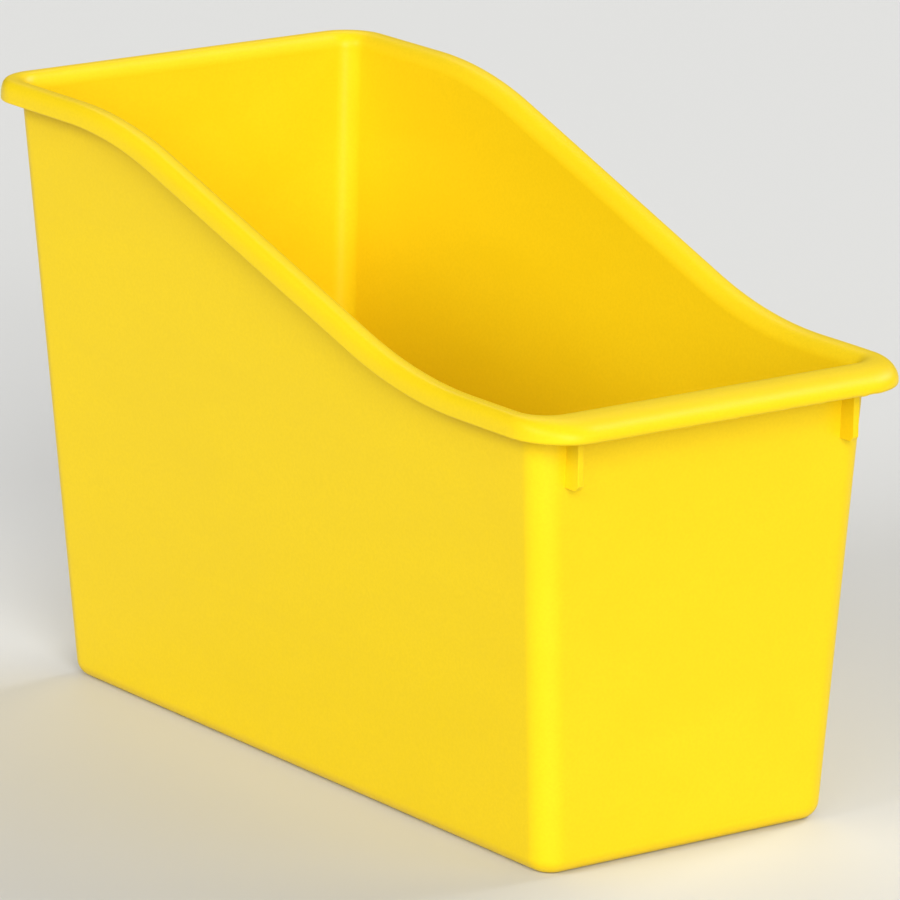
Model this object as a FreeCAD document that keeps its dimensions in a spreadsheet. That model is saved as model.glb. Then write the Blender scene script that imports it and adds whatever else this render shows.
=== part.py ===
"""Open-fronted storage bin, moulded in one shot, with an out-turned rim.

Frame: +Z up, +X to the bin's right seen from the front, the low front faces -Y.
The origin is on the surface the bin stands on, under the middle of its outer box.
All lengths are in millimetres and all drafts in degrees.

The moulding is described zone by zone: a floor pan, four walls, four corner
columns, a rim over each wall, a rim corner over each column, and two ribs under
the deep front lip. The zones meet face to face.
"""
import FreeCAD, Part
import math
import os
import Sketcher

DRIVING_DIMENSIONS = {
    "overall_length": 288.0,
    "overall_width": 140.0,
    "back_height": 189.5,
    "front_height": 139.7,
    "wall": 2.0,
    "floor_thickness": 2.4,
    "side_draft": 3.7,
    "front_draft": 2.5,
    "back_draft": 3.9,
    "corner_radius": 8.0,
    "floor_edge_radius": 5.0,
    "pan_height": 9.0,
    "corner_land": 2.0,
    "lip_drop": 6.5,
    "lip_thickness": 1.8,
    "crown_inner_radius": 4.9,
    "crown_outer_radius": 2.8,
    "side_crown_flat": 0.5,
    "front_crown_flat": 8.6,
    "front_lip_corner_radius": 16.0,
    "back_flat": 41.0,
    "front_flat": 30.5,
    "slope_length": 105.0,
    "hollow_to_crest": 1.175,
    "rib_thickness": 2.0,
    "rib_depth": 5.5,
    "rib_drop": 16.0,
    "rib_chamfer": 1.5,
}

# Each working size is worked out from the driving dimensions by its own expression.
WORKING_SIZES = {
    "side_slope": "tan(sizes.side_draft * 1 deg)",
    "front_slope": "tan(sizes.front_draft * 1 deg)",
    "back_slope": "tan(sizes.back_draft * 1 deg)",
    "crown_start": "sizes.crown_inner_radius - sizes.wall",
    "side_overhang": "shape.crown_start + sizes.side_crown_flat + sizes.crown_outer_radius",
    "front_overhang": "shape.crown_start + sizes.front_crown_flat + sizes.crown_outer_radius",
    "back_foot": "sizes.back_height - sizes.lip_drop",
    "front_foot": "sizes.front_height - sizes.lip_drop",
    "half_width": "sizes.overall_width / 2 - shape.side_overhang",
    "half_width_front": "shape.half_width - shape.side_slope * (shape.back_foot - shape.front_foot)",
    "half_width_pan": "shape.half_width - shape.side_slope * (shape.back_foot - sizes.pan_height)",
    "half_width_base": "shape.half_width - shape.side_slope * shape.back_foot",
    "back": "sizes.overall_length / 2 - shape.side_overhang",
    "back_pan": "shape.back - shape.back_slope * (shape.back_foot - sizes.pan_height)",
    "back_base": "shape.back - shape.back_slope * shape.back_foot",
    "front": "shape.front_overhang - sizes.overall_length / 2",
    "front_pan": "shape.front + shape.front_slope * (shape.front_foot - sizes.pan_height)",
    "front_base": "shape.front + shape.front_slope * shape.front_foot",
    "corner_zone": "sizes.corner_radius + sizes.corner_land",
    "back_split": "shape.back - shape.corner_zone",
    "front_split": "shape.front + shape.corner_zone",
    "crest_start": "shape.back - sizes.back_flat",
    "hollow_end": "shape.front + sizes.front_flat",
    "swoop_run": "shape.crest_start - shape.hollow_end",
    "swoop_drop": "shape.back_foot - shape.front_foot",
    "leaned_drop": "shape.swoop_drop / cos(sizes.side_draft * 1 deg)",
    "arc_sum": "(shape.swoop_run ^ 2 + shape.swoop_drop ^ 2 - sizes.slope_length ^ 2)"
               " / (2 * shape.swoop_drop)",
    "crest_radius": "shape.arc_sum / (1 + sizes.hollow_to_crest)",
    "hollow_radius": "shape.arc_sum - shape.crest_radius",
    "front_edge_x": "shape.half_width_front - sizes.front_lip_corner_radius",
    "back_edge_x": "shape.half_width - shape.corner_zone",
    "rib_x": "shape.half_width_front - shape.corner_zone - sizes.rib_thickness / 2",
    "lip_underside": "sizes.lip_drop - sizes.lip_thickness",
}

# How far a cutting outline runs past the wall that it trims.
CUT_MARGIN = 10.0

# A wedge tapers along its own Y axis, which this turns to point up.
UPRIGHT = FreeCAD.Placement(FreeCAD.Vector(), FreeCAD.Rotation(FreeCAD.Vector(1, 0, 0), 90))


def make_sheet(document):
    """Put the driving dimensions in a spreadsheet, one named cell each."""
    sheet = document.addObject("Spreadsheet::Sheet", "sizes")
    for row, (name, value) in enumerate(DRIVING_DIMENSIONS.items(), start=1):
        sheet.set(f"A{row}", name)
        sheet.set(f"B{row}", str(value))
        sheet.setAlias(f"B{row}", name)
    document.recompute()
    return sheet


def make_working_sizes(document):
    """Bind every working size to the sheet through an expression."""
    shape = document.addObject("App::VarSet", "shape")
    for name, expression in WORKING_SIZES.items():
        shape.addProperty("App::PropertyFloat", name, "Working")
        shape.setExpression(name, expression.replace("shape.", ""))
        document.recompute()
    return shape


doc = FreeCAD.newDocument("storage_bin")
sizes = make_sheet(doc)
shape = make_working_sizes(doc)


def value_of(expression):
    """Return the number that an expression gives now."""
    return float(doc.shape.evalExpression(expression))


def origin_plane(body, role):
    """Return one of the body's own origin planes."""
    return next(item for item in body.Origin.OriginFeatures if item.Role == role)


def new_body(label):
    """Start one zone of the moulding as a body that carries its name."""
    body = doc.addObject("PartDesign::Body", label)
    body.Label = label
    return body


def attach_sketch(body, name, role, offsets):
    """Add a sketch on an origin plane, moved by one expression per sketch axis."""
    sketch = body.newObject("Sketcher::SketchObject", name)
    sketch.AttachmentSupport = [(origin_plane(body, role), "")]
    sketch.MapMode = "FlatFace"
    for axis, expression in zip("xyz", offsets):
        sketch.setExpression(f"AttachmentOffset.Base.{axis}", expression)
    return sketch


def bind(sketch, kind, references, expression):
    """Add a dimension to a sketch and tie it to an expression."""
    number = sketch.addConstraint(Sketcher.Constraint(kind, *references, value_of(expression)))
    sketch.setExpression(f"Constraints[{number}]", expression)


def square_profile(sketch, corners):
    """Draw a closed outline of level and upright lines, with rounded or sharp corners.

    corners lists (x, y, radius) as expressions in order round the outline, and a
    radius of None leaves that corner sharp.
    """
    count = len(corners)
    points = [FreeCAD.Vector(value_of(x), value_of(y), 0) for x, y, radius in corners]
    radii = [0.0 if radius is None else value_of(radius) for x, y, radius in corners]
    along = [(points[(i + 1) % count] - points[i]).normalize() for i in range(count)]
    lines = []
    for i in range(count):
        start = points[i] + along[i] * radii[i]
        end = points[(i + 1) % count] - along[i] * radii[(i + 1) % count]
        lines.append(sketch.addGeometry(Part.LineSegment(start, end)))
        level = abs(along[i].x) > abs(along[i].y)
        sketch.addConstraint(Sketcher.Constraint("Horizontal" if level else "Vertical", lines[i]))
        kind = "DistanceY" if level else "DistanceX"
        bind(sketch, kind, (-1, 1, lines[i], 1), corners[i][1] if level else corners[i][0])
    for i in range(count):
        before = lines[i - 1]
        if radii[i] == 0.0:
            sketch.addConstraint(Sketcher.Constraint("Coincident", before, 2, lines[i], 1))
            continue
        round_corner(sketch, points[i], radii[i], along[i - 1], along[i], before, lines[i], corners[i][2])


def round_corner(sketch, point, radius, arriving, leaving, before, after, expression):
    """Join two lines of an outline by a tangent quarter arc."""
    centre = point - arriving * radius + leaving * radius
    left_turn = arriving.x * leaving.y - arriving.y * leaving.x > 0
    first = -leaving if left_turn else arriving
    start_angle = math.atan2(first.y, first.x)
    circle = Part.Circle(centre, FreeCAD.Vector(0, 0, 1), radius)
    arc = sketch.addGeometry(Part.ArcOfCircle(circle, start_angle, start_angle + math.pi / 2))
    arc_start, arc_end = (1, 2) if left_turn else (2, 1)
    sketch.addConstraint(Sketcher.Constraint("Tangent", before, 2, arc, arc_start))
    sketch.addConstraint(Sketcher.Constraint("Tangent", arc, arc_end, after, 1))
    bind(sketch, "Radius", (arc,), expression)


def bind_all(feature, expressions):
    """Tie several properties of one feature to their expressions."""
    for name, expression in expressions.items():
        feature.setExpression(name, expression)


def check_cut(feature, before):
    """Stop when a cut has taken nothing away."""
    if feature.Shape.Volume >= before - 1.0:
        raise RuntimeError(f"{feature.Label} cuts nothing")


def level_edges(solid, height, wanted):
    """Name the edges that lie at one height and whose middle is wanted."""
    names = []
    for number, edge in enumerate(solid.Edges, start=1):
        box = edge.BoundBox
        if max(abs(box.ZMin - height), abs(box.ZMax - height)) < 0.001:
            middle = edge.valueAt((edge.FirstParameter + edge.LastParameter) / 2)
            if wanted(middle):
                names.append(f"Edge{number}")
    return names


def round_edges(body, name, base, edges, radius):
    """Round the named edges of a body's latest feature."""
    fillet = body.newObject("PartDesign::Fillet", name)
    fillet.Base = (base, edges)
    fillet.setExpression("Radius", radius)
    doc.recompute()
    return fillet


def make_floor_pan():
    """The floor with its rounded lower edge and the first few millimetres of wall."""
    outside = make_pan_block("pan_outside", "0", "0")
    hollow = make_pan_block("pan_hollow", "sizes.floor_thickness", "sizes.wall")
    pan = doc.addObject("Part::Cut", "floor_pan")
    pan.Label = "floor_pan"
    pan.Base = outside
    pan.Tool = hollow
    doc.recompute()
    check_cut(pan, outside.Shape.Volume)
    return pan


def make_pan_block(name, low, inset):
    """A block that leans as the walls do, rounded at its corners and round its foot."""
    body = new_body(name)
    block = body.newObject("PartDesign::AdditiveWedge", f"{name}_block")
    block.Placement = UPRIGHT
    bind_all(block, {
        "Ymin": low, "Ymax": "sizes.pan_height",
        "Xmin": f"{inset} - shape.half_width_base - shape.side_slope * {low}",
        "Xmax": f"shape.half_width_base + shape.side_slope * {low} - {inset}",
        "X2min": f"{inset} - shape.half_width_pan", "X2max": f"shape.half_width_pan - {inset}",
        "Zmin": f"{inset} - shape.back_base - shape.back_slope * {low}",
        "Zmax": f"-shape.front_base + shape.front_slope * {low} - {inset}",
        "Z2min": f"{inset} - shape.back_pan", "Z2max": f"-shape.front_pan - {inset}",
    })
    doc.recompute()
    foot = value_of(low)
    rising = rising_edges(block.Shape, foot)
    corners = round_edges(body, f"{name}_corners", block, rising, f"sizes.corner_radius - {inset}")
    level = level_edges(corners.Shape, foot, lambda middle: True)
    round_edges(body, f"{name}_foot", corners, level, f"sizes.floor_edge_radius - {inset}")
    return body


def rising_edges(solid, low):
    """Name the sharp edges that run from one height up to the pan's top."""
    top = value_of("sizes.pan_height")
    names = []
    for number, edge in enumerate(solid.Edges, start=1):
        box = edge.BoundBox
        straight = edge.Curve.TypeId == "Part::GeomLine"
        if straight and abs(box.ZMin - low) < 0.001 and abs(box.ZMax - top) < 0.001:
            names.append(f"Edge{number}")
    return names


def make_drafted_wall(label, low, high, expressions):
    """A flat wall between two heights, leaning at its draft angle."""
    wall = doc.addObject("Part::Wedge", label)
    wall.Label = label
    wall.Placement = UPRIGHT
    bind_all(wall, {"Ymin": low, "Ymax": high})
    bind_all(wall, expressions)
    return wall


def make_end_walls():
    """The low front wall and the high back wall, between their corner columns."""
    pan_x = "(shape.half_width_pan - shape.corner_zone)"
    front_x = "(shape.half_width_front - shape.corner_zone)"
    front = make_drafted_wall("front_wall", "sizes.pan_height", "shape.front_foot", {
        "Xmin": f"-{pan_x}", "Xmax": pan_x, "X2min": f"-{front_x}", "X2max": front_x,
        "Zmin": "-shape.front_pan - sizes.wall", "Zmax": "-shape.front_pan",
        "Z2min": "-shape.front - sizes.wall", "Z2max": "-shape.front",
    })
    back = make_drafted_wall("back_wall", "sizes.pan_height", "shape.back_foot", {
        "Xmin": f"-{pan_x}", "Xmax": pan_x, "X2min": "-shape.back_edge_x", "X2max": "shape.back_edge_x",
        "Zmin": "-shape.back_pan", "Zmax": "-shape.back_pan + sizes.wall",
        "Z2min": "-shape.back", "Z2max": "-shape.back + sizes.wall",
    })
    return [front, back]


def swoop_points(drop_name, margin):
    """Return the swoop's slope angle and its joints, from the back forward.

    Each point is (distance along Y, height above the back foot line). A level run
    turns down over the crest arc, falls in a straight line, and levels out through
    the hollow arc. The two arcs and the straight share their tangents.
    """
    start = value_of("shape.crest_start")
    end = value_of("shape.hollow_end")
    drop = value_of(drop_name)
    crest = value_of("shape.crest_radius")
    hollow = value_of("shape.hollow_radius")
    rise = crest + hollow - drop
    angle = math.asin((crest + hollow) / math.hypot(start - end, rise)) - math.atan2(rise, start - end)
    points = {
        "back": (value_of("shape.back_split") + margin, 0.0),
        "crest_start": (start, 0.0),
        "crest_end": (start - crest * math.sin(angle), -crest * (1 - math.cos(angle))),
        "hollow_start": (end + hollow * math.sin(angle), hollow * (1 - math.cos(angle)) - drop),
        "hollow_end": (end, -drop),
        "front": (value_of("shape.front_split") - margin, -drop),
    }
    return angle, {name: FreeCAD.Vector(*place, 0) for name, place in points.items()}


def draw_swoop(sketch, drop_name, margin=0.0):
    """Draw the line that the rim's foot follows along a side wall."""
    angle, spot = swoop_points(drop_name, margin)
    up = FreeCAD.Vector(0, 0, 1)
    crest = value_of("shape.crest_radius")
    hollow = value_of("shape.hollow_radius")
    quarter = math.pi / 2
    crest_circle = Part.Circle(spot["crest_start"] - FreeCAD.Vector(0, crest, 0), up, crest)
    hollow_circle = Part.Circle(spot["hollow_end"] + FreeCAD.Vector(0, hollow, 0), up, hollow)
    pieces = [
        Part.LineSegment(spot["back"], spot["crest_start"]),
        Part.ArcOfCircle(crest_circle, quarter, quarter + angle),
        Part.LineSegment(spot["crest_end"], spot["hollow_start"]),
        Part.ArcOfCircle(hollow_circle, 3 * quarter, 3 * quarter + angle),
        Part.LineSegment(spot["hollow_end"], spot["front"]),
    ]
    level_back, crest_arc, slope, hollow_arc, level_front = [sketch.addGeometry(piece) for piece in pieces]
    for line in (level_back, level_front):
        sketch.addConstraint(Sketcher.Constraint("Horizontal", line))
    joints = ((level_back, 2, crest_arc, 1), (crest_arc, 2, slope, 1),
              (slope, 2, hollow_arc, 2), (hollow_arc, 1, level_front, 1))
    for joint in joints:
        sketch.addConstraint(Sketcher.Constraint("Tangent", *joint))
    bind(sketch, "Radius", (crest_arc,), "shape.crest_radius")
    bind(sketch, "Radius", (hollow_arc,), "shape.hollow_radius")
    bind(sketch, "DistanceX", (-1, 1, level_back, 1), f"shape.back_split + {margin}")
    bind(sketch, "DistanceX", (-1, 1, level_back, 2), "shape.crest_start")
    bind(sketch, "DistanceX", (-1, 1, level_front, 1), "shape.hollow_end")
    bind(sketch, "DistanceX", (-1, 1, level_front, 2), f"shape.front_split - {margin}")
    bind(sketch, "DistanceY", (-1, 1, level_front, 1), f"-{drop_name}")
    sketch.addConstraint(Sketcher.Constraint("PointOnObject", level_back, 1, -1))
    return spot["back"], spot["front"], level_back, level_front


def lean_with_wall(sketch):
    """Lay a sketch of the YZ plane in the outer face of the right-hand wall."""
    about_length = FreeCAD.Rotation(FreeCAD.Vector(1, 0, 0), 1)
    sketch.AttachmentOffset = FreeCAD.Placement(FreeCAD.Vector(), about_length)
    bind_all(sketch, {
        "AttachmentOffset.Base.y": "shape.back_foot",
        "AttachmentOffset.Base.z": "shape.half_width",
        "AttachmentOffset.Rotation.Angle": "sizes.side_draft * 1 deg",
    })


def make_side_wall():
    """The right-hand wall, cut along the swoop that its rim follows."""
    body = new_body("right_wall")
    above_foot = "(sizes.back_height - shape.front_foot)"
    top_x = "shape.half_width + shape.side_slope * sizes.lip_drop"
    top_back = "shape.back_split + shape.back_slope * sizes.lip_drop"
    levels = {
        "sizes.pan_height": ("shape.half_width_pan", "shape.front_pan + shape.corner_zone",
                             "shape.back_pan - shape.corner_zone"),
        "sizes.back_height": (top_x, f"shape.front_split - shape.front_slope * {above_foot}", top_back),
    }
    ends = []
    for number, (height, (outside, front, back)) in enumerate(levels.items()):
        sketch = attach_sketch(body, f"wall_level_{number}", "XY_Plane", ("0", "0", height))
        inside = f"{outside} - sizes.wall"
        square_profile(sketch, [(inside, front, None), (outside, front, None),
                                (outside, back, None), (inside, back, None)])
        ends.append(sketch)
    doc.recompute()
    block = body.newObject("PartDesign::AdditiveLoft", "wall_block")
    block.Profile = ends[0]
    block.Sections = [ends[1]]
    block.Ruled = True
    doc.recompute()
    waste = attach_sketch(body, "swoop_waste", "YZ_Plane", ("0", "shape.back_foot", "0"))
    close_above(waste, *draw_swoop(waste, "shape.swoop_drop", CUT_MARGIN))
    doc.recompute()
    cut = body.newObject("PartDesign::Pocket", "swoop_cut")
    cut.Profile = waste
    cut.Type = "ThroughAll"
    cut.Midplane = True
    doc.recompute()
    check_cut(cut, block.Shape.Volume)
    return body


def close_above(sketch, back, front, level_back, level_front):
    """Close the swoop line over the top, so that all above it is waste."""
    high = FreeCAD.Vector(0, value_of("sizes.lip_drop") + CUT_MARGIN, 0)
    corners = [back, back + high, FreeCAD.Vector(front.x, high.y, 0), front]
    sides = [sketch.addGeometry(Part.LineSegment(a, b)) for a, b in zip(corners, corners[1:])]
    for side, kind in zip(sides, ("Vertical", "Horizontal", "Vertical")):
        sketch.addConstraint(Sketcher.Constraint(kind, side))
    joints = ((sides[0], 1, level_back, 1), (sides[0], 2, sides[1], 1),
              (sides[1], 2, sides[2], 1), (sides[2], 2, level_front, 2))
    for joint in joints:
        sketch.addConstraint(Sketcher.Constraint("Coincident", *joint))
    bind(sketch, "DistanceY", (-1, 1, sides[1], 1), f"sizes.lip_drop + {CUT_MARGIN}")


def make_column(label, end, height, lean):
    """A right-hand corner column, swept up along the lean of its two walls."""
    body = new_body(label)
    sign = "" if end == "back" else "-"
    wall_line = f"shape.{end}_pan"
    sketch = attach_sketch(body, f"{label}_plan", "XY_Plane", ("0", "0", "sizes.pan_height"))
    outer_x = "shape.half_width_pan"
    inner_x = "shape.half_width_pan - sizes.wall"
    land_x = "shape.half_width_pan - shape.corner_zone"
    step = "-" if end == "back" else "+"
    inner_y = f"{wall_line} {step} sizes.wall"
    land_y = f"{wall_line} {step} shape.corner_zone"
    square_profile(sketch, [
        (land_x, wall_line, None), (outer_x, wall_line, "sizes.corner_radius"),
        (outer_x, land_y, None), (inner_x, land_y, None),
        (inner_x, inner_y, "sizes.corner_radius - sizes.wall"), (land_x, inner_y, None),
    ])
    doc.recompute()
    pad = body.newObject("PartDesign::Pad", f"{label}_sweep")
    pad.Profile = sketch
    pad.UseCustomVector = True
    pad.AlongSketchNormal = True
    bind_all(pad, {
        "Length": f"{height} - sizes.pan_height",
        "Direction.x": "shape.side_slope",
        "Direction.y": f"{sign}{lean}",
        "Direction.z": "1",
    })
    return body


def draw_rim_section(sketch, flat, outward):
    """Draw the rolled rim: up the wall, over the crown and down the hollow lip.

    The sketch's origin is where the wall's outer face meets the level of the lip's
    lower edge. outward is "" where the lip points along the sketch's X, or "-".
    """
    overhang = f"(shape.crown_start + {flat} + sizes.crown_outer_radius)"
    lip_inside = f"({overhang} - sizes.lip_thickness)"
    under = "shape.lip_underside"
    square_profile(sketch, [
        (f"-({outward}sizes.wall)", "0", None),
        (f"-({outward}sizes.wall)", "sizes.lip_drop", "sizes.crown_inner_radius"),
        (f"{outward}{overhang}", "sizes.lip_drop", "sizes.crown_outer_radius"),
        (f"{outward}{overhang}", "0", None),
        (f"{outward}{lip_inside}", "0", None),
        (f"{outward}{lip_inside}", under, "sizes.crown_outer_radius - sizes.lip_thickness"),
        ("0", under, "sizes.crown_inner_radius - sizes.wall"),
        ("0", "0", None),
    ])


def make_end_rim(label, end, flat, half_length, outward):
    """The straight rim over the front or the back wall."""
    body = new_body(label)
    sketch = attach_sketch(body, f"{label}_section", "YZ_Plane", (f"shape.{end}", f"shape.{end}_foot", "0"))
    draw_rim_section(sketch, flat, outward)
    doc.recompute()
    pad = body.newObject("PartDesign::Pad", f"{label}_run")
    pad.Profile = sketch
    pad.Midplane = True
    pad.setExpression("Length", f"2 * {half_length}")
    return body


def make_side_rim():
    """The right-hand rim, which follows the swoop from the back to the front."""
    body = new_body("rim_right")
    path = attach_sketch(body, "rim_path", "YZ_Plane", ())
    lean_with_wall(path)
    draw_swoop(path, "shape.leaned_drop")
    start = ("shape.half_width", "shape.back_foot", "-shape.back_split")
    section = attach_sketch(body, "rim_section", "XZ_Plane", start)
    draw_rim_section(section, "sizes.side_crown_flat", "")
    doc.recompute()
    pipe = body.newObject("PartDesign::AdditivePipe", "rim_run")
    pipe.Profile = section
    pipe.Spine = (path, [f"Edge{number}" for number in range(1, 6)])
    doc.recompute()
    return body


def make_rim_corner(label, end, width, flat, edge_x, lip_radius):
    """A right-hand rim corner: the lip turns outside while the crown turns inside."""
    body = new_body(label)
    out, back_in = ("+", "-") if end == "back" else ("-", "+")
    overhang = f"(shape.crown_start + {flat} + sizes.crown_outer_radius)"
    wall_line = f"shape.{end}"
    split = f"shape.{end}_split"
    foot = f"shape.{end}_foot"
    inner = (f"{width} - sizes.wall", f"{wall_line} {back_in} sizes.wall",
             "sizes.corner_radius - sizes.wall")
    outer = (f"{width} + shape.side_overhang", f"{wall_line} {out} {overhang}", lip_radius)
    plan = attach_sketch(body, f"{label}_plan", "XY_Plane", ("0", "0", foot))
    draw_corner_band(plan, outer, inner, edge_x, split)
    doc.recompute()
    pad = body.newObject("PartDesign::Pad", f"{label}_block")
    pad.Profile = plan
    pad.setExpression("Length", "sizes.lip_drop")
    doc.recompute()
    top = value_of(f"{foot} + sizes.lip_drop")
    split_x, split_y = value_of(edge_x), value_of(split)
    band_x, band_y = value_of(width), value_of(wall_line)
    beyond = 1 if end == "back" else -1

    def on_outer(middle):
        return middle.x > band_x or (middle.y - band_y) * beyond > 0

    def on_split(middle):
        return abs(middle.x - split_x) < 0.001 or abs(middle.y - split_y) < 0.001

    outer_edges = level_edges(pad.Shape, top, lambda spot: on_outer(spot) and not on_split(spot))
    crown = round_edges(body, f"{label}_outer_crown", pad, outer_edges, "sizes.crown_outer_radius")
    inner_edges = level_edges(crown.Shape, top, lambda spot: not on_outer(spot) and not on_split(spot))
    crown = round_edges(body, f"{label}_inner_crown", crown, inner_edges, "sizes.crown_inner_radius")
    hollow = attach_sketch(body, f"{label}_hollow_plan", "XY_Plane", ("0", "0", foot))
    hollow_outer = (f"{outer[0]} - sizes.lip_thickness", f"{outer[1]} {back_in} sizes.lip_thickness",
                    f"{lip_radius} - sizes.lip_thickness")
    draw_corner_band(hollow, hollow_outer, (width, wall_line, "sizes.corner_radius"), edge_x, split)
    doc.recompute()
    pocket = body.newObject("PartDesign::Pocket", f"{label}_hollow")
    pocket.Profile = hollow
    pocket.Reversed = True
    pocket.setExpression("Length", "shape.lip_underside")
    doc.recompute()
    check_cut(pocket, crown.Shape.Volume)
    return body


def draw_corner_band(sketch, outer, inner, edge_x, split):
    """Draw the plan of a corner band between its two straight ends."""
    outer_x, outer_y, outer_radius = outer
    inner_x, inner_y, inner_radius = inner
    square_profile(sketch, [
        (edge_x, outer_y, None), (outer_x, outer_y, outer_radius), (outer_x, split, None),
        (inner_x, split, None), (inner_x, inner_y, inner_radius), (edge_x, inner_y, None),
    ])


def make_rib():
    """The right-hand rib, from the front wall up into the hollow of the deep front lip."""
    body = new_body("rib_right")
    sketch = attach_sketch(body, "rib_side", "YZ_Plane", ("shape.front", "shape.front_foot", "shape.rib_x"))
    corners = [
        ("0", "shape.lip_underside"),
        ("0", "0"),
        ("shape.front_slope * sizes.rib_drop", "-sizes.rib_drop"),
        ("sizes.rib_chamfer - sizes.rib_depth", "-sizes.rib_drop"),
        ("-sizes.rib_depth", "sizes.rib_chamfer - sizes.rib_drop"),
        ("-sizes.rib_depth", "shape.lip_underside"),
    ]
    draw_polygon(sketch, corners)
    doc.recompute()
    pad = body.newObject("PartDesign::Pad", "rib_web")
    pad.Profile = sketch
    pad.Midplane = True
    pad.setExpression("Length", "sizes.rib_thickness")
    return body


def draw_polygon(sketch, corners):
    """Draw a closed outline of straight lines with both places of each corner bound."""
    spots = [FreeCAD.Vector(value_of(x), value_of(y), 0) for x, y in corners]
    sides = [sketch.addGeometry(Part.LineSegment(a, b)) for a, b in zip(spots, spots[1:] + spots[:1])]
    for number, side in enumerate(sides):
        sketch.addConstraint(Sketcher.Constraint("Coincident", side, 1, sides[number - 1], 2))
        for kind, expression in zip(("DistanceX", "DistanceY"), corners[number]):
            bind(sketch, kind, (-1, 1, side, 1), expression)


def mirror_to_left(source):
    """Mirror a right-hand zone across the bin's middle."""
    label = source.Label.replace("right", "left")
    twin = doc.addObject("Part::Mirroring", label)
    twin.Label = label
    twin.Source = source
    twin.Normal = FreeCAD.Vector(1, 0, 0)
    return twin


def build_zones():
    """Build every zone of the moulding, right-hand ones first and then their twins."""
    back_lip_radius = "(sizes.corner_radius + shape.side_overhang)"
    middle = [
        make_floor_pan(),
        *make_end_walls(),
        make_end_rim("rim_front", "front", "sizes.front_crown_flat", "shape.front_edge_x", "-"),
        make_end_rim("rim_back", "back", "sizes.side_crown_flat", "shape.back_edge_x", ""),
    ]
    right = [
        make_side_wall(),
        make_column("corner_front_right", "front", "shape.front_foot", "shape.front_slope"),
        make_column("corner_back_right", "back", "shape.back_foot", "shape.back_slope"),
        make_side_rim(),
        make_rim_corner("rim_corner_front_right", "front", "shape.half_width_front",
                        "sizes.front_crown_flat", "shape.front_edge_x", "sizes.front_lip_corner_radius"),
        make_rim_corner("rim_corner_back_right", "back", "shape.half_width",
                        "sizes.side_crown_flat", "shape.back_edge_x", back_lip_radius),
        make_rib(),
    ]
    doc.recompute()
    left = [mirror_to_left(zone) for zone in right]
    doc.recompute()
    return middle + right + left


def check_and_export(zones):
    """Stop on any failed object, then write each zone to its own STEP file."""
    failed = [item.Name for item in doc.Objects if {"Invalid", "Error"} & set(item.State)]
    if failed:
        raise RuntimeError(f"failed objects: {failed}")
    for zone in zones:
        if zone.Shape.isNull() or not zone.Shape.isValid() or len(zone.Shape.Solids) != 1:
            raise RuntimeError(f"{zone.Label} is not one valid solid")
    os.makedirs("parts", exist_ok=True)
    for zone in zones:
        zone.Shape.exportStep(f"parts/{zone.Label}.step")
        print(f"{zone.Label:24s} {zone.Shape.Volume:10.1f} mm3")


check_and_export(build_zones())
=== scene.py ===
"""A yellow storage bin with a low front and a high back, moulded in one shot.

Everything is in the CAD model's frame: +Z up, the low front faces -Y, and the bin
stands on Z = 0. Shapes are drawn in millimetres and turned to metres as meshes are made.
The whole moulding is one skin, which goes round the plan from cut to cut. Each CAD
zone gets its own closed piece of that skin.
"""
import math
import random
from collections import namedtuple

import bmesh
import bpy
import numpy as np
from mathutils import Matrix, Vector


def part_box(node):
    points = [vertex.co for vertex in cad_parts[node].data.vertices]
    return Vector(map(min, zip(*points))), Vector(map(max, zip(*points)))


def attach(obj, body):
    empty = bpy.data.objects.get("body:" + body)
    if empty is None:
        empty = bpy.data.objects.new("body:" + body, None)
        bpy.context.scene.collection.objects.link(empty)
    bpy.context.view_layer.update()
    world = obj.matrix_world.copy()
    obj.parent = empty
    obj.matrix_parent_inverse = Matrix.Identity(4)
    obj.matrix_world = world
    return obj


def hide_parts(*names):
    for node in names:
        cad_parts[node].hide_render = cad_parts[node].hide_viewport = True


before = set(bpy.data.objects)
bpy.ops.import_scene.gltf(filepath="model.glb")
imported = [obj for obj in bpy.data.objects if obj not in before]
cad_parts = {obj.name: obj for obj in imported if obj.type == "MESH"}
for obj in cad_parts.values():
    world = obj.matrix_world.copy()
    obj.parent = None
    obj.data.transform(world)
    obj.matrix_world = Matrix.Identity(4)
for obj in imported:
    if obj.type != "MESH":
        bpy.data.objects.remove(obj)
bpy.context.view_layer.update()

MM = 0.001
# Places closer than this, in millimetres, count as the same.
TINY = 0.01
UP = Vector((0, 0, 1))


# ---- sizes that the CAD model settles -------------------------------------------------

def low(node):
    """The lowest corner of a CAD node, in millimetres."""
    return Vector(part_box(node)[0]) / MM


def high(node):
    """The highest corner of a CAD node, in millimetres."""
    return Vector(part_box(node)[1]) / MM


PAN_TOP = high("floor_pan").z
BACK_FOOT = low("rim_back").z
FRONT_FOOT = low("rim_front").z
RIM_RISE = high("rim_back").z - BACK_FOOT
SIDE_AT_TOP = high("right_wall").x
BACK_AT_TOP = high("back_wall").y
FRONT_AT_TOP = low("front_wall").y
SIDE_LEAN = (SIDE_AT_TOP - high("floor_pan").x) / (BACK_FOOT - PAN_TOP)
BACK_LEAN = (BACK_AT_TOP - high("floor_pan").y) / (BACK_FOOT - PAN_TOP)
FRONT_LEAN = (low("floor_pan").y - FRONT_AT_TOP) / (FRONT_FOOT - PAN_TOP)
SIDE_OVERHANG = high("rim_right").x - SIDE_AT_TOP
FRONT_OVERHANG = FRONT_AT_TOP - low("rim_front").y
FRONT_RIM_HALF = high("rim_front").x
FRONT_HALF_WIDTH = SIDE_AT_TOP - SIDE_LEAN * (BACK_FOOT - FRONT_FOOT)

# ---- sizes of the moulding itself -----------------------------------------------------

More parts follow.
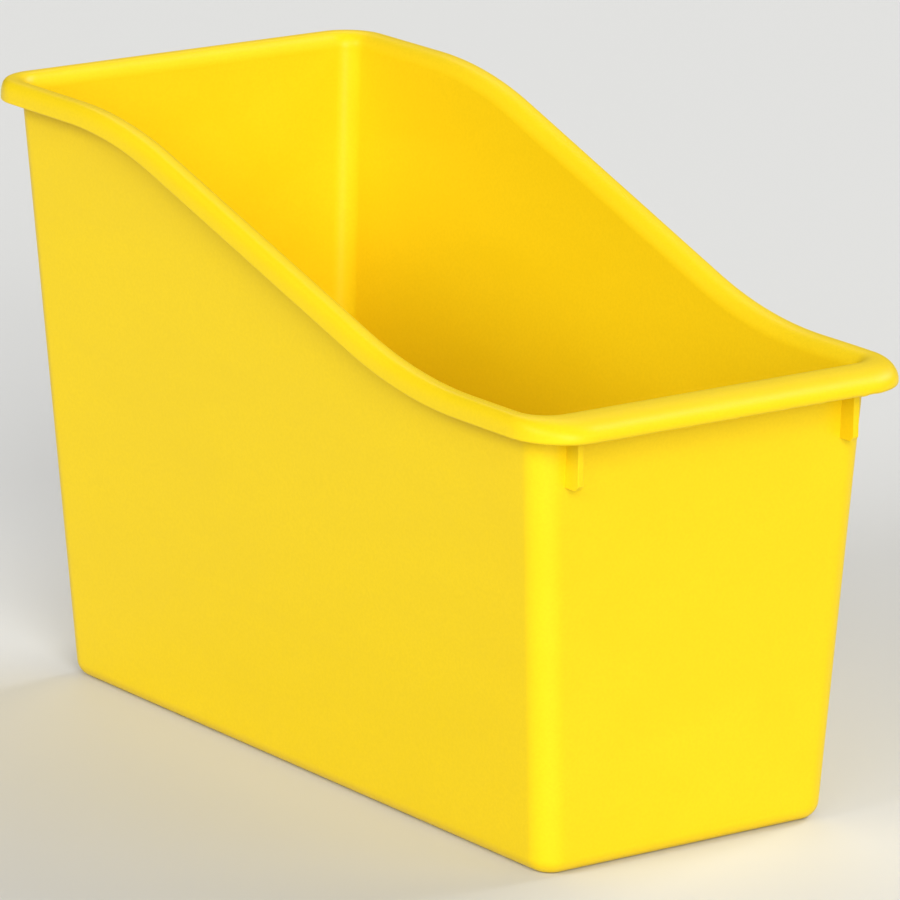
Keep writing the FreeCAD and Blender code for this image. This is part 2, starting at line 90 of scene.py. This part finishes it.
# All in millimetres. A land is the flat strip that a corner zone takes beyond its round.
WALL = 2.0
FLOOR = 2.4
CORNER = 8.0
CORNER_LAND = 2.0
OUTER_FOOT_ROUND = 5.0
INNER_FOOT_ROUND = 3.0

# The side's sweep: level at the back and at the front, with a crest, a straight slope
# and a hollow between. The hollow's radius is a multiple of the crest's.
BACK_LEVEL = 41.0
FRONT_LEVEL = 30.5
SLOPE_LENGTH = 105.0
HOLLOW_TO_CREST = 1.175

# The rim: a round crown over the wall, a short flat, and a dome down to the lip's edge.
# A fullness of 2 is a plain ellipse, and more makes the shoulder squarer.
LIP = 1.8
CROWN_INSIDE = 4.9
CROWN_FLAT = 0.7
SIDE_LIP_FLARE = 0.5
SIDE_LIP_FULLNESS = 2.8
FRONT_LIP_FULLNESS = 2.05
SIDE_LIP_EDGE = 0.4
FRONT_LIP_EDGE = 1.4
LIP_INNER_EDGE = 0.3

# The deep lip's corner reaches this far across and along, and the cuts behind it come
# back square to the side wall over the run.
FRONT_LIP_CORNER = (17.0, 19.0)
SKEW_RUN = 14.0

# A rib's chamfer at its lower end, how far its root sinks into the wall, and its edge round.
RIB_CHAMFER = 1.5
RIB_TUCK = 0.6
RIB_EDGE = 0.22

# The gate is where the plastic entered: a shallow dimple with a snipped stub inside it,
# as (radius, depth) from the outside in.
GATE_DIMPLE = [(8.6, 0.1), (8.0, 0.6), (7.4, 0.7), (1.9, 0.7), (1.6, 0.6), (1.4, 0.25), (1.1, 0.2)]

# The floor's and the base's skins run in to circles of these radii, then to a point.
FLOOR_MIDDLE = 6.0
BASE_MIDDLE = 9.0

# The front lip's parting line was trimmed in short nicks and long waves: how many, and
# the ranges of their places along X, half widths and depths. A depth over 0 is flash.
Trim = namedtuple("Trim", "count place half_width depth")
TRIMS = (Trim(34, (-22, 52), (0.7, 1.6), (-0.12, 0.3)),
         Trim(26, (-52, 52), (2.0, 5.0), (-0.06, 0.1)))
TRIM_SEED = 4
# Only cuts where the lip has this share of its full overhang are trimmed.
DEEP_LIP_SHARE = 0.8

# ---- how finely the skin is stepped ---------------------------------------------------

FRONT_STEPS = 60
FRONT_END_STEPS = 6
LAND_STEPS = 2
FRONT_CORNER_STEPS = 16
LOW_LEVEL_STEPS = 10
CURVE_STEPS = 18
SLOPE_STEPS = 24
HIGH_LEVEL_STEPS = 8
BACK_CORNER_STEPS = 14
BACK_STEPS = 14

WALL_STEPS = 16
INNER_FOOT_STEPS = 6
OUTER_FOOT_STEPS = 8
CROWN_STEPS = 9
DOME_STEPS = 18
LIP_EDGE_STEPS = 5
LIP_INNER_EDGE_STEPS = 3
UNDER_DOME_STEPS = 10
UNDER_CROWN_STEPS = 5


# ---- the outer faces ------------------------------------------------------------------

def side_at(z):
    """The outer face of the right wall at a height."""
    return SIDE_AT_TOP - SIDE_LEAN * (BACK_FOOT - z)


def front_at(z):
    """The outer face of the front wall at a height."""
    return FRONT_AT_TOP + FRONT_LEAN * (FRONT_FOOT - z)


def back_at(z):
    """The outer face of the back wall at a height."""
    return BACK_AT_TOP - BACK_LEAN * (BACK_FOOT - z)


# ---- the cuts round the plan ----------------------------------------------------------

# place(z) is the outer skin's plan point at a height, out points away from the bin,
# foot is the height where the rim begins, lip is the rim's outer edge at that height,
# and up is the way that the rim stands.
Cut = namedtuple("Cut", "place out foot lip up")


def front_cut(x):
    """A cut through the front wall, leaning outwards with the wall's own edges."""
    reach = FRONT_HALF_WIDTH - CORNER

    def place(z):
        return Vector((x * (side_at(z) - CORNER) / reach, front_at(z), 0))

    lip_reach = side_at(FRONT_FOOT) + SIDE_OVERHANG + SIDE_LIP_FLARE - FRONT_LIP_CORNER[0]
    past_split = max(0.0, (x - FRONT_RIM_HALF) / (reach - FRONT_RIM_HALF))
    lip_x = x + (lip_reach - reach) * past_split
    lip = Vector((lip_x, FRONT_AT_TOP - FRONT_OVERHANG, FRONT_FOOT))
    return Cut(place, Vector((0, -1, 0)), FRONT_FOOT, lip, UP)


def front_corner_cut(turn):
    """A cut through the front corner: turn runs from 0 at the front to 1 at the side."""
    angle = math.radians(-90 + 90 * turn)
    out = Vector((math.cos(angle), math.sin(angle), 0))

    def place(z):
        return Vector((side_at(z) - CORNER, front_at(z) + CORNER, 0)) + out * CORNER

    across, along = FRONT_LIP_CORNER
    lip = Vector((FRONT_HALF_WIDTH + SIDE_OVERHANG + SIDE_LIP_FLARE + across * (out.x - 1),
                  FRONT_AT_TOP - FRONT_OVERHANG + along * (out.y + 1), FRONT_FOOT))
    return Cut(place, out, FRONT_FOOT, lip, UP)


def side_cut(y, foot, slope):
    """A cut through the side wall, square to the rim's own rise and fall."""
    up = Vector((0, -math.sin(slope), math.cos(slope)))
    ends = front_at(foot) + CORNER, back_at(foot) - CORNER
    share = (y - ends[0]) / (ends[1] - ends[0])

    def place(z):
        near, far = front_at(z) + CORNER, back_at(z) - CORNER
        return Vector((side_at(z), near + (far - near) * share, 0))

    skew = FRONT_LIP_CORNER[1] - FRONT_OVERHANG - CORNER
    fade = max(0.0, 1 - (y - ends[0]) / SKEW_RUN) ** 2
    lip = Vector((side_at(foot) + SIDE_OVERHANG + SIDE_LIP_FLARE, y + skew * fade, foot))
    return Cut(place, Vector((1, 0, 0)), foot, lip, up)


def back_corner_cut(turn):
    """A cut through the back corner: turn runs from 0 at the side to 1 at the back."""
    angle = math.radians(90 * turn)
    out = Vector((math.cos(angle), math.sin(angle), 0))

    def place(z):
        return Vector((side_at(z) - CORNER, back_at(z) - CORNER, 0)) + out * CORNER

    lip = place(BACK_FOOT) + out * (SIDE_OVERHANG + SIDE_LIP_FLARE) + UP * BACK_FOOT
    return Cut(place, out, BACK_FOOT, lip, UP)


def back_cut(x):
    """A cut through the back wall."""
    reach = side_at(BACK_FOOT) - CORNER

    def place(z):
        return Vector((x * (side_at(z) - CORNER) / reach, back_at(z), 0))

    lip = Vector((x, BACK_AT_TOP + SIDE_OVERHANG + SIDE_LIP_FLARE, BACK_FOOT))
    return Cut(place, Vector((0, 1, 0)), BACK_FOOT, lip, UP)


def steps(start, end, count):
    """Even steps from start up to end, without start itself."""
    return [start + (end - start) * k / count for k in range(1, count + 1)]


def swoop():
    """The rim's foot along the side, front to back, as (y, height, slope angle)."""
    crest_start = BACK_AT_TOP - BACK_LEVEL
    hollow_end = FRONT_AT_TOP + FRONT_LEVEL
    run = crest_start - hollow_end
    drop = BACK_FOOT - FRONT_FOOT
    radii = (run ** 2 + drop ** 2 - SLOPE_LENGTH ** 2) / (2 * drop)
    crest = radii / (1 + HOLLOW_TO_CREST)
    hollow = radii - crest
    steepest = (math.asin(radii / math.hypot(run, radii - drop))
                - math.atan2(radii - drop, run))
    front_start = FRONT_AT_TOP + CORNER
    front_split = front_start + CORNER_LAND
    back_end = BACK_AT_TOP - CORNER
    back_split = back_end - CORNER_LAND

    def on_hollow(angle):
        return (hollow_end + hollow * math.sin(angle),
                FRONT_FOOT + hollow * (1 - math.cos(angle)), angle)

    def on_crest(angle):
        return (crest_start - crest * math.sin(angle),
                BACK_FOOT - crest * (1 - math.cos(angle)), angle)

    bottom, top = on_hollow(steepest), on_crest(steepest)
    path = [(y, FRONT_FOOT, 0.0) for y in steps(front_start, front_split, LAND_STEPS)
            + steps(front_split, hollow_end, LOW_LEVEL_STEPS)]
    path += [on_hollow(angle) for angle in steps(0.0, steepest, CURVE_STEPS)]
    path += [(bottom[0] + (top[0] - bottom[0]) * share,
              bottom[1] + (top[1] - bottom[1]) * share, steepest)
             for share in steps(0.0, 1.0, SLOPE_STEPS)]
    path += [on_crest(angle) for angle in steps(steepest, 0.0, CURVE_STEPS)]
    path += [(y, BACK_FOOT, 0.0) for y in steps(crest_start, back_split, HIGH_LEVEL_STEPS)
             + steps(back_split, back_end, LAND_STEPS)]
    return path


def right_half_cuts():
    """Every cut from the middle of the front to the middle of the back.

    With them come the splits: the number of the cut where each zone ends.
    """
    front_tangent = FRONT_HALF_WIDTH - CORNER
    front_split = front_tangent - CORNER_LAND
    back_tangent = SIDE_AT_TOP - CORNER
    back_split = back_tangent - CORNER_LAND
    cuts = [front_cut(x) for x in [0.0] + steps(0.0, FRONT_RIM_HALF, FRONT_STEPS)]
    splits = {"front_rim": len(cuts) - 1}
    cuts += [front_cut(x) for x in steps(FRONT_RIM_HALF, front_split, FRONT_END_STEPS)]
    splits["front_wall"] = len(cuts) - 1
    cuts += [front_cut(x) for x in steps(front_split, front_tangent, LAND_STEPS)]
    cuts += [front_corner_cut(turn) for turn in steps(0.0, 1.0, FRONT_CORNER_STEPS)]
    splits["side_front"] = len(cuts) - 1 + LAND_STEPS
    cuts += [side_cut(*place) for place in swoop()]
    splits["side_back"] = len(cuts) - 1 - LAND_STEPS
    cuts += [back_corner_cut(turn) for turn in steps(0.0, 1.0, BACK_CORNER_STEPS)]
    cuts += [back_cut(x) for x in steps(back_tangent, back_split, LAND_STEPS)]
    splits["back_wall"] = len(cuts) - 1
    cuts += [back_cut(x) for x in steps(back_split, 0.0, BACK_STEPS)]
    return cuts, splits


# ---- one cut's outline, from the floor's middle over the rim to the base's middle ------

def quarter(centre, radii, start, end, count, fullness=2.0):
    """A quarter of an ellipse in a section, from one angle in degrees to another.

    A fullness over 2 swells the curve out towards its square corner.
    """
    curve = []
    for angle in [start] + steps(start, end, count):
        turn = math.cos(math.radians(angle)), math.sin(math.radians(angle))
        across, rise = (math.copysign(abs(part) ** (2 / fullness), part) for part in turn)
        curve.append((centre[0] + radii[0] * across, centre[1] + radii[1] * rise))
    return curve


def rim_outline(reach):
    """The rim's section as (distance from the inner skin, height over the foot).

    It goes up the inside, over the crown, down the lip, and back under to the wall. A
    deeper lip has a longer and lower dome outside the crown.
    """
    middle = CROWN_INSIDE + CROWN_FLAT
    dome = reach - middle
    shallowest = WALL + SIDE_OVERHANG - middle
    deepest = WALL + FRONT_OVERHANG - middle
    deep = min(1.0, max(0.0, (dome - shallowest) / (deepest - shallowest)))
    fullness = SIDE_LIP_FULLNESS + (FRONT_LIP_FULLNESS - SIDE_LIP_FULLNESS) * deep
    edge = SIDE_LIP_EDGE + (FRONT_LIP_EDGE - SIDE_LIP_EDGE) * deep
    crown = CROWN_INSIDE, RIM_RISE - CROWN_INSIDE
    inside_edge = reach - LIP + LIP_INNER_EDGE, LIP_INNER_EDGE
    outline = quarter(crown, (CROWN_INSIDE,) * 2, 180, 90, CROWN_STEPS)
    outline += quarter((middle, edge), (dome, RIM_RISE - edge), 90, 0, DOME_STEPS, fullness)
    outline += quarter((reach - edge, edge), (edge, edge), 0, -90, LIP_EDGE_STEPS)[1:]
    outline += quarter(inside_edge, (LIP_INNER_EDGE,) * 2, -90, -180, LIP_INNER_EDGE_STEPS)
    outline += quarter((middle, edge), (dome - LIP, RIM_RISE - edge - LIP), 0, 90,
                       UNDER_DOME_STEPS, fullness)
    outline += quarter(crown, (CROWN_INSIDE - WALL, CROWN_INSIDE - LIP), 90, 180,
                       UNDER_CROWN_STEPS)
    return outline


def ring(cut, z, inset):
    """The skin's point at a height, moved in from the outer face."""
    return cut.place(z) - cut.out * inset + UP * z


def towards_middle(point, share, radius):
    """A point drawn level by a share of its way in to a circle round the bin's middle."""
    flat = Vector((point.x, point.y, 0))
    return flat.lerp(flat.normalized() * radius, share) + UP * point.z


def skin_outline(cut):
    """All the points of one cut, in order, and the number of each place where a run ends.

    The run goes from the floor's middle out to the wall, up it and over the rim, down
    the outside, and in to the base's middle.
    """
    floor = ring(cut, FLOOR, WALL + INNER_FOOT_ROUND)
    points = [towards_middle(floor, share, FLOOR_MIDDLE) for share in (1.0, 0.5)]
    for side, height in quarter((0, 0), (1, 1), -90, 0, INNER_FOOT_STEPS):
        inset = WALL + INNER_FOOT_ROUND * (1 - side)
        points.append(ring(cut, FLOOR + INNER_FOOT_ROUND * (1 + height), inset))
    points.append(ring(cut, PAN_TOP, WALL))
    marks = {"inner_pan": len(points) - 1}
    points += [ring(cut, z, WALL) for z in steps(PAN_TOP, cut.foot, WALL_STEPS)]
    marks["inner_foot"] = len(points) - 1
    inner_foot, outer_foot = points[-1], ring(cut, cut.foot, 0.0)
    across = cut.lip - inner_foot
    reach = across.length
    marks["rim"] = len(points)
    for out, rise in rim_outline(reach):
        on_wall = rise < RIM_RISE - LIP and abs(out - WALL) < TINY
        start = outer_foot - across * (WALL / reach) if on_wall else inner_foot
        points.append(start + across * (out / reach) + cut.up * rise)
    points.append(outer_foot)
    marks["outer_foot"] = len(points) - 1
    points += [ring(cut, z, 0.0) for z in steps(cut.foot, PAN_TOP, WALL_STEPS)]
    marks["outer_pan"] = len(points) - 1
    for side, height in quarter((0, 0), (1, 1), 0, -90, OUTER_FOOT_STEPS):
        inset = OUTER_FOOT_ROUND * (1 - side)
        points.append(ring(cut, OUTER_FOOT_ROUND * (1 + height), inset))
    base = points[-1]
    points += [towards_middle(base, share, BASE_MIDDLE) for share in (0.5, 1.0)]
    points += [towards_middle(base, 1.0, radius) + UP * depth for radius, depth in GATE_DIMPLE]
    return points, marks


def trim_front_lip(grid, first):
    """Leave a trace of flash along the lower edge of the deep front lip.

    first is the outline place where the lip's edge starts to turn under. The flash grows
    from there to the underside.
    """
    chance = random.Random(TRIM_SEED)
    trims = [[chance.uniform(*limits) for limits in (trim.place, trim.half_width, trim.depth)]
             for trim in TRIMS for _ in range(trim.count)]
    growth = np.linspace(0.2, 1.0, LIP_EDGE_STEPS + 1)
    for row in grid:
        edge = row[first:first + LIP_EDGE_STEPS + 1]
        if edge[0, 1] > FRONT_AT_TOP - FRONT_OVERHANG * DEEP_LIP_SHARE:
            continue
        for place, half_width, depth in trims:
            closeness = max(0.0, 1 - abs(edge[0, 0] - place) / half_width)
            edge[:, 2] -= depth * closeness ** 2 * growth


def build_skin():
    """The whole skin as a grid of points: one row for each cut, once round the plan."""
    half, splits = right_half_cuts()
    rows = []
    for cut in half:
        points, marks = skin_outline(cut)
        rows.append([tuple(point) for point in points])
    right = np.array(rows)
    left = right[-2:0:-1] * (-1, 1, 1)
    grid = np.concatenate([right, left])
    trim_front_lip(grid, marks["rim"] + CROWN_STEPS + 1 + DOME_STEPS)
    return grid, splits, marks


def skin_normals(grid):
    """Smooth normals of the whole skin, so that light runs on from piece to piece."""
    ahead = np.roll(grid, -1, axis=0)
    facing = np.cross(ahead[:, 1:] - grid[:, :-1], ahead[:, :-1] - grid[:, 1:])
    total = np.zeros_like(grid)
    for face in (facing, np.roll(facing, 1, axis=0)):
        total[:, 1:] += face
        total[:, :-1] += face
    return total / np.linalg.norm(total, axis=2, keepdims=True)


SKIN, SPLITS, MARKS = build_skin()
NORMALS = skin_normals(SKIN)
CUTS, OUTLINE = SKIN.shape[:2]


# ---- pieces ---------------------------------------------------------------------------

def finish_piece(node, mesh, material):
    """Put a finished mesh in the scene in place of the CAD node of its zone."""
    piece = bpy.data.objects.new(f"moulded_{node}", mesh)
    bpy.context.scene.collection.objects.link(piece)
    mesh.materials.append(material)
    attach(piece, "root")
    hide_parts(node)


def mesh_from_skin(name, keys, faces, extra=()):
    """A mesh from skin points, its skin faces shaded with the whole skin's normals.

    keys are (cut, place) pairs, and extra holds points that are not on the skin. A face
    is (corner numbers, whether it is skin): a face that is not skin is shaded flat.
    """
    spots = [SKIN[key] for key in keys] + list(extra)
    mesh = bpy.data.meshes.new(name)
    mesh.from_pydata([tuple(spot * MM) for spot in spots], [],
                     [corners for corners, _ in faces])
    mesh.update()
    mesh.polygons.foreach_set("use_smooth", [True] * len(mesh.polygons))
    normals = []
    for polygon, (corners, skin) in zip(mesh.polygons, faces):
        for corner in corners:
            smooth = skin and corner < len(keys)
            normals.append(tuple(NORMALS[keys[corner]]) if smooth else tuple(polygon.normal))
    mesh.normals_split_custom_set(normals)
    return mesh


def run_piece(node, first, last, loop, material):
    """A closed piece of the moulding between two cuts.

    loop lists the outline places round its section, in order. A first cut under 0 counts
    back from the middle of the front.
    """
    rows = [number % CUTS for number in range(first, last + 1)]
    keys = [(row, place) for row in rows for place in loop]
    size = len(loop)
    faces = []
    for row in range(len(rows) - 1):
        for k in range(size):
            after = (k + 1) % size
            here, ahead = row * size, (row + 1) * size
            corners = (here + k, here + after, ahead + after, ahead + k)
            faces.append((corners, abs(loop[after] - loop[k]) == 1))
    last_row = (len(rows) - 1) * size
    faces.append((tuple(range(size - 1, -1, -1)), False))
    faces.append((tuple(range(last_row, last_row + size)), False))
    finish_piece(node, mesh_from_skin(node, keys, faces), material)


def pan_piece(node, material):
    """The floor pan, which closes on itself round the plan."""
    inside = list(range(0, MARKS["inner_pan"] + 1))
    outside = list(range(MARKS["outer_pan"], OUTLINE))
    loop = inside + outside
    size = len(loop)
    keys = [(row, place) for row in range(CUTS) for place in loop]
    middles = (np.array([0, 0, SKIN[0, 0, 2]]), np.array([0, 0, SKIN[0, -1, 2]]))
    floor_middle, base_middle = len(keys), len(keys) + 1
    faces = []
    for row in range(CUTS):
        here, ahead = row * size, (row + 1) % CUTS * size
        for k in range(size - 1):
            corners = (here + k, here + k + 1, ahead + k + 1, ahead + k)
            faces.append((corners, loop[k + 1] - loop[k] == 1))
        faces.append(((floor_middle, here, ahead), False))
        faces.append(((base_middle, ahead + size - 1, here + size - 1), False))
    finish_piece(node, mesh_from_skin(node, keys, faces, middles), material)


def wall_loop():
    """The outline places round a wall's section, between the pan and the rim."""
    inside = list(range(MARKS["inner_pan"], MARKS["inner_foot"] + 1))
    return inside + list(range(MARKS["outer_foot"], MARKS["outer_pan"] + 1))


def rim_loop():
    """The outline places round the rim's section."""
    return list(range(MARKS["inner_foot"], MARKS["outer_foot"] + 1))


def build_moulding(material):
    """Every zone of the moulding as its own piece."""
    pan_piece("floor_pan", material)
    side_front, side_back, back = SPLITS["side_front"], SPLITS["side_back"], SPLITS["back_wall"]
    for loop, front, wall, corner in (
            (wall_loop(), SPLITS["front_wall"], "{}_wall", "corner_{}_{}"),
            (rim_loop(), SPLITS["front_rim"], "rim_{}", "rim_corner_{}_{}")):
        for node, first, last in (
                (wall.format("front"), -front, front),
                (wall.format("back"), back, CUTS - back),
                (wall.format("right"), side_front, side_back),
                (wall.format("left"), CUTS - side_back, CUTS - side_front),
                (corner.format("front", "right"), front, side_front),
                (corner.format("back", "right"), side_back, back),
                (corner.format("back", "left"), CUTS - back, CUTS - side_back),
                (corner.format("front", "left"), CUTS - side_front, CUTS - front)):
            run_piece(node, first, last, loop, material)
    for node in ("rib_left", "rib_right"):
        build_rib(node, material)


def build_rib(node, material):
    """A thin web that ties the deep lip to the front wall, with a chamfered lower end."""
    start, end = low(node), high(node)
    side = [(start.y, end.z), (start.y, start.z + RIB_CHAMFER), (start.y + RIB_CHAMFER, start.z),
            (front_at(start.z) + RIB_TUCK, start.z), (front_at(end.z) + RIB_TUCK, end.z)]
    shape = bmesh.new()
    rows = [[shape.verts.new((x, y, z)) for y, z in side] for x in (start.x, end.x)]
    shape.faces.new(rows[0][::-1])
    shape.faces.new(rows[1])
    for k in range(len(side)):
        after = (k + 1) % len(side)
        shape.faces.new((rows[0][k], rows[0][after], rows[1][after], rows[1][k]))
    bmesh.ops.recalc_face_normals(shape, faces=shape.faces)
    bmesh.ops.bevel(shape, geom=list(shape.edges), offset=RIB_EDGE, segments=3, profile=0.5,
                    affect="EDGES")
    bmesh.ops.scale(shape, vec=(MM,) * 3, verts=shape.verts)
    mesh = bpy.data.meshes.new(node)
    shape.to_mesh(mesh)
    shape.free()
    mesh.polygons.foreach_set("use_smooth", [True] * len(mesh.polygons))
    mesh.update()
    weighted = np.zeros((len(mesh.vertices), 3))
    for polygon in mesh.polygons:
        for corner in polygon.vertices:
            weighted[corner] += np.array(polygon.normal) * polygon.area
    weighted /= np.linalg.norm(weighted, axis=1, keepdims=True)
    mesh.normals_split_custom_set_from_vertices([tuple(normal) for normal in weighted])
    finish_piece(node, mesh, material)


# ---- materials ------------------------------------------------------------------------

def linear(hex_colour):
    """Turn an sRGB hex colour to the linear RGBA that shaders use."""
    values = [int(hex_colour[k:k + 2], 16) / 255 for k in (1, 3, 5)]
    return tuple(value / 12.92 if value <= 0.04045 else ((value + 0.055) / 1.055) ** 2.4
                 for value in values) + (1.0,)


def add(tree, kind, links=None, **settings):
    """Add a node, set its settings and inputs, and link its inputs to other nodes' outputs."""
    node = tree.nodes.new(kind)
    inputs = settings.pop("inputs", {})
    for name, value in settings.items():
        setattr(node, name, value)
    for name, value in inputs.items():
        node.inputs[name].default_value = value
    for name, output in (links or {}).items():
        tree.links.new(output, node.inputs[name])
    return node


# A Mix node's two colours and its result, by the numbers of their sockets.
COLOUR_A, COLOUR_B, MIXED = 6, 7, 2

FLOW_CLOUD = 35 * MM
GRAIN = 0.9 * MM
YELLOW, PALER_YELLOW, SPECK_YELLOW = "#ECCB14", "#EFCE16", "#E5C412"


def moulded_polypropylene():
    """Yellow polypropylene, coloured through and injection moulded in a fine-blasted tool.

    It gives an even satin skin with a soft sheen. Pigment carried by the flow leaves
    faint clouds about 35 mm across, and the tool leaves a grain too fine to see: it is
    drawn as 0.9 mm specks, so that it just shows.
    """
    material = bpy.data.materials.new("yellow_polypropylene_moulded")
    material.use_nodes = True
    tree = material.node_tree
    tree.nodes.clear()
    place = add(tree, "ShaderNodeTexCoord").outputs["Object"]
    flow = add(tree, "ShaderNodeMapping", {"Vector": place}, inputs={"Scale": (1.0, 0.45, 1.6)})
    clouds = add(tree, "ShaderNodeTexNoise", {"Vector": flow.outputs["Vector"]}, inputs={
        "Scale": 1 / FLOW_CLOUD, "Detail": 3.0, "Roughness": 0.55, "Distortion": 0.6})
    specks = add(tree, "ShaderNodeTexNoise", {"Vector": place}, inputs={
        "Scale": 1 / GRAIN, "Detail": 1.0})
    cloud_tint = add(tree, "ShaderNodeMapRange", {"Value": clouds.outputs["Fac"]}, inputs={
        "From Min": 0.3, "From Max": 0.7, "To Min": 0.0, "To Max": 1.0})
    yellow = add(tree, "ShaderNodeMix", {"Factor": cloud_tint.outputs["Result"]}, data_type="RGBA")
    yellow.inputs[COLOUR_A].default_value = linear(YELLOW)
    yellow.inputs[COLOUR_B].default_value = linear(PALER_YELLOW)
    speck_depth = add(tree, "ShaderNodeMapRange", {"Value": specks.outputs["Fac"]}, inputs={
        "From Min": 0.35, "From Max": 0.65, "To Min": 0.0, "To Max": 0.35})
    speckled = add(tree, "ShaderNodeMix", {
        "Factor": speck_depth.outputs["Result"], COLOUR_A: yellow.outputs[MIXED]},
        data_type="RGBA")
    speckled.inputs[COLOUR_B].default_value = linear(SPECK_YELLOW)
    sheen = add(tree, "ShaderNodeMapRange", {"Value": clouds.outputs["Fac"]}, inputs={
        "From Min": 0.3, "From Max": 0.7, "To Min": 0.36, "To Max": 0.44})
    grain = add(tree, "ShaderNodeBump", {"Height": specks.outputs["Fac"]}, inputs={
        "Strength": 0.12, "Distance": GRAIN * 0.1})
    surface = add(tree, "ShaderNodeBsdfPrincipled", {
        "Base Color": speckled.outputs[MIXED], "Roughness": sheen.outputs["Result"],
        "Normal": grain.outputs["Normal"]}, inputs={"IOR": 1.49, "Specular IOR Level": 0.15})
    add(tree, "ShaderNodeOutputMaterial", {"Surface": surface.outputs["BSDF"]})
    return material


def studio_paper():
    """Uncoated studio paper, pale grey and matt, which shows soft shadows."""
    material = bpy.data.materials.new("uncoated_studio_paper")
    material.use_nodes = True
    tree = material.node_tree
    tree.nodes.clear()
    surface = add(tree, "ShaderNodeBsdfPrincipled", inputs={
        "Base Color": linear("#DADAD8"), "Roughness": 0.9, "Specular IOR Level": 0.2})
    add(tree, "ShaderNodeOutputMaterial", {"Surface": surface.outputs["BSDF"]})
    return material


# ---- the studio -----------------------------------------------------------------------

PAPER_HALF_SIZE = 6.0
ROOM_LIGHT = 0.15
PANEL_WIDTH = 26.0

# Each panel's angle round the bin from its front and above the floor, and its strength.
PANELS = {
    "low_front_panel": (-25, 12, 1.44),
    "high_front_panel": (-25, 30, 1.18),
    "near_side_panel": (-90, 30, 1.0),
    "near_corner_panel": (-55, 30, 0.52),
    "far_corner_panel": (30, 30, 0.21),
    "far_side_panel": (90, 40, 1.5),
    "back_panel": (150, 45, 0.3),
}

# The camera's angles in degrees, its distance, and the place it looks at: a point on the
# bin's middle line, then a little to the camera's right.
CAMERA_AZIMUTH = -36.03
CAMERA_ELEVATION = 14.93
CAMERA_ROLL = 0.64
CAMERA_DISTANCE = 2172.9
CAMERA_TARGET = Vector((0, 0.72, 92.02))
TARGET_SHIFT = 3.05
LENS = 289.7
SENSOR = 36.0


def direction(azimuth, elevation):
    """The way from the bin to a place, by its angles in degrees from the front."""
    around, above = math.radians(azimuth), math.radians(elevation)
    return Vector((math.sin(around) * math.cos(above), -math.cos(around) * math.cos(above),
                   math.sin(above)))


def build_floor():
    """A sheet of paper that runs flat under the bin."""
    sheet = bmesh.new()
    bmesh.ops.create_grid(sheet, x_segments=8, y_segments=8, size=PAPER_HALF_SIZE)
    mesh = bpy.data.meshes.new("studio_paper")
    sheet.to_mesh(mesh)
    sheet.free()
    mesh.materials.append(studio_paper())
    floor = bpy.data.objects.new("studio_paper", mesh)
    bpy.context.scene.collection.objects.link(floor)


def aim_matrix(place, target):
    """Stand something at a place so that its -Z looks at a target."""
    turn = (target - place).to_track_quat("-Z", "Y")
    return Matrix.Translation(place) @ turn.to_matrix().to_4x4()


def add_panel(name, azimuth, elevation, strength):
    """A wide panel of soft light, far away, placed by its angles."""
    light = bpy.data.lights.new(name, "SUN")
    light.energy = strength
    light.angle = math.radians(PANEL_WIDTH)
    panel = bpy.data.objects.new(name, light)
    panel.matrix_world = aim_matrix(direction(azimuth, elevation), Vector((0, 0, 0)))
    bpy.context.scene.collection.objects.link(panel)


def light_the_room():
    """An even white room with wide, soft panels in front, at both sides and behind."""
    world = bpy.data.worlds.new("white_room")
    world.use_nodes = True
    backdrop = world.node_tree.nodes["Background"]
    backdrop.inputs["Color"].default_value = (1, 1, 1, 1)
    backdrop.inputs["Strength"].default_value = ROOM_LIGHT
    bpy.context.scene.world = world
    for name, place_and_strength in PANELS.items():
        add_panel(name, *place_and_strength)


def place_camera():
    """A long lens from the front left, a little above the rim."""
    back = direction(CAMERA_AZIMUTH, CAMERA_ELEVATION)
    around, roll = math.radians(CAMERA_AZIMUTH), math.radians(CAMERA_ROLL)
    right = Vector((math.cos(around), math.sin(around), 0))
    up = back.cross(right)
    place = CAMERA_TARGET + right * TARGET_SHIFT + back * CAMERA_DISTANCE
    turned_right = right * math.cos(roll) + up * math.sin(roll)
    turned_up = up * math.cos(roll) - right * math.sin(roll)
    lens = bpy.data.cameras.new("studio_camera")
    lens.lens = LENS
    lens.sensor_width = SENSOR
    camera = bpy.data.objects.new("studio_camera", lens)
    camera.matrix_world = Matrix.Translation(place * MM) @ Matrix(
        (turned_right, turned_up, back)).transposed().to_4x4()
    bpy.context.scene.collection.objects.link(camera)
    bpy.context.scene.camera = camera


# The plain view transform keeps the yellow as strong as the plastic's own colour.
bpy.context.scene.view_settings.view_transform = "Standard"
place_camera()
build_moulding(moulded_polypropylene())
build_floor()
light_the_room()
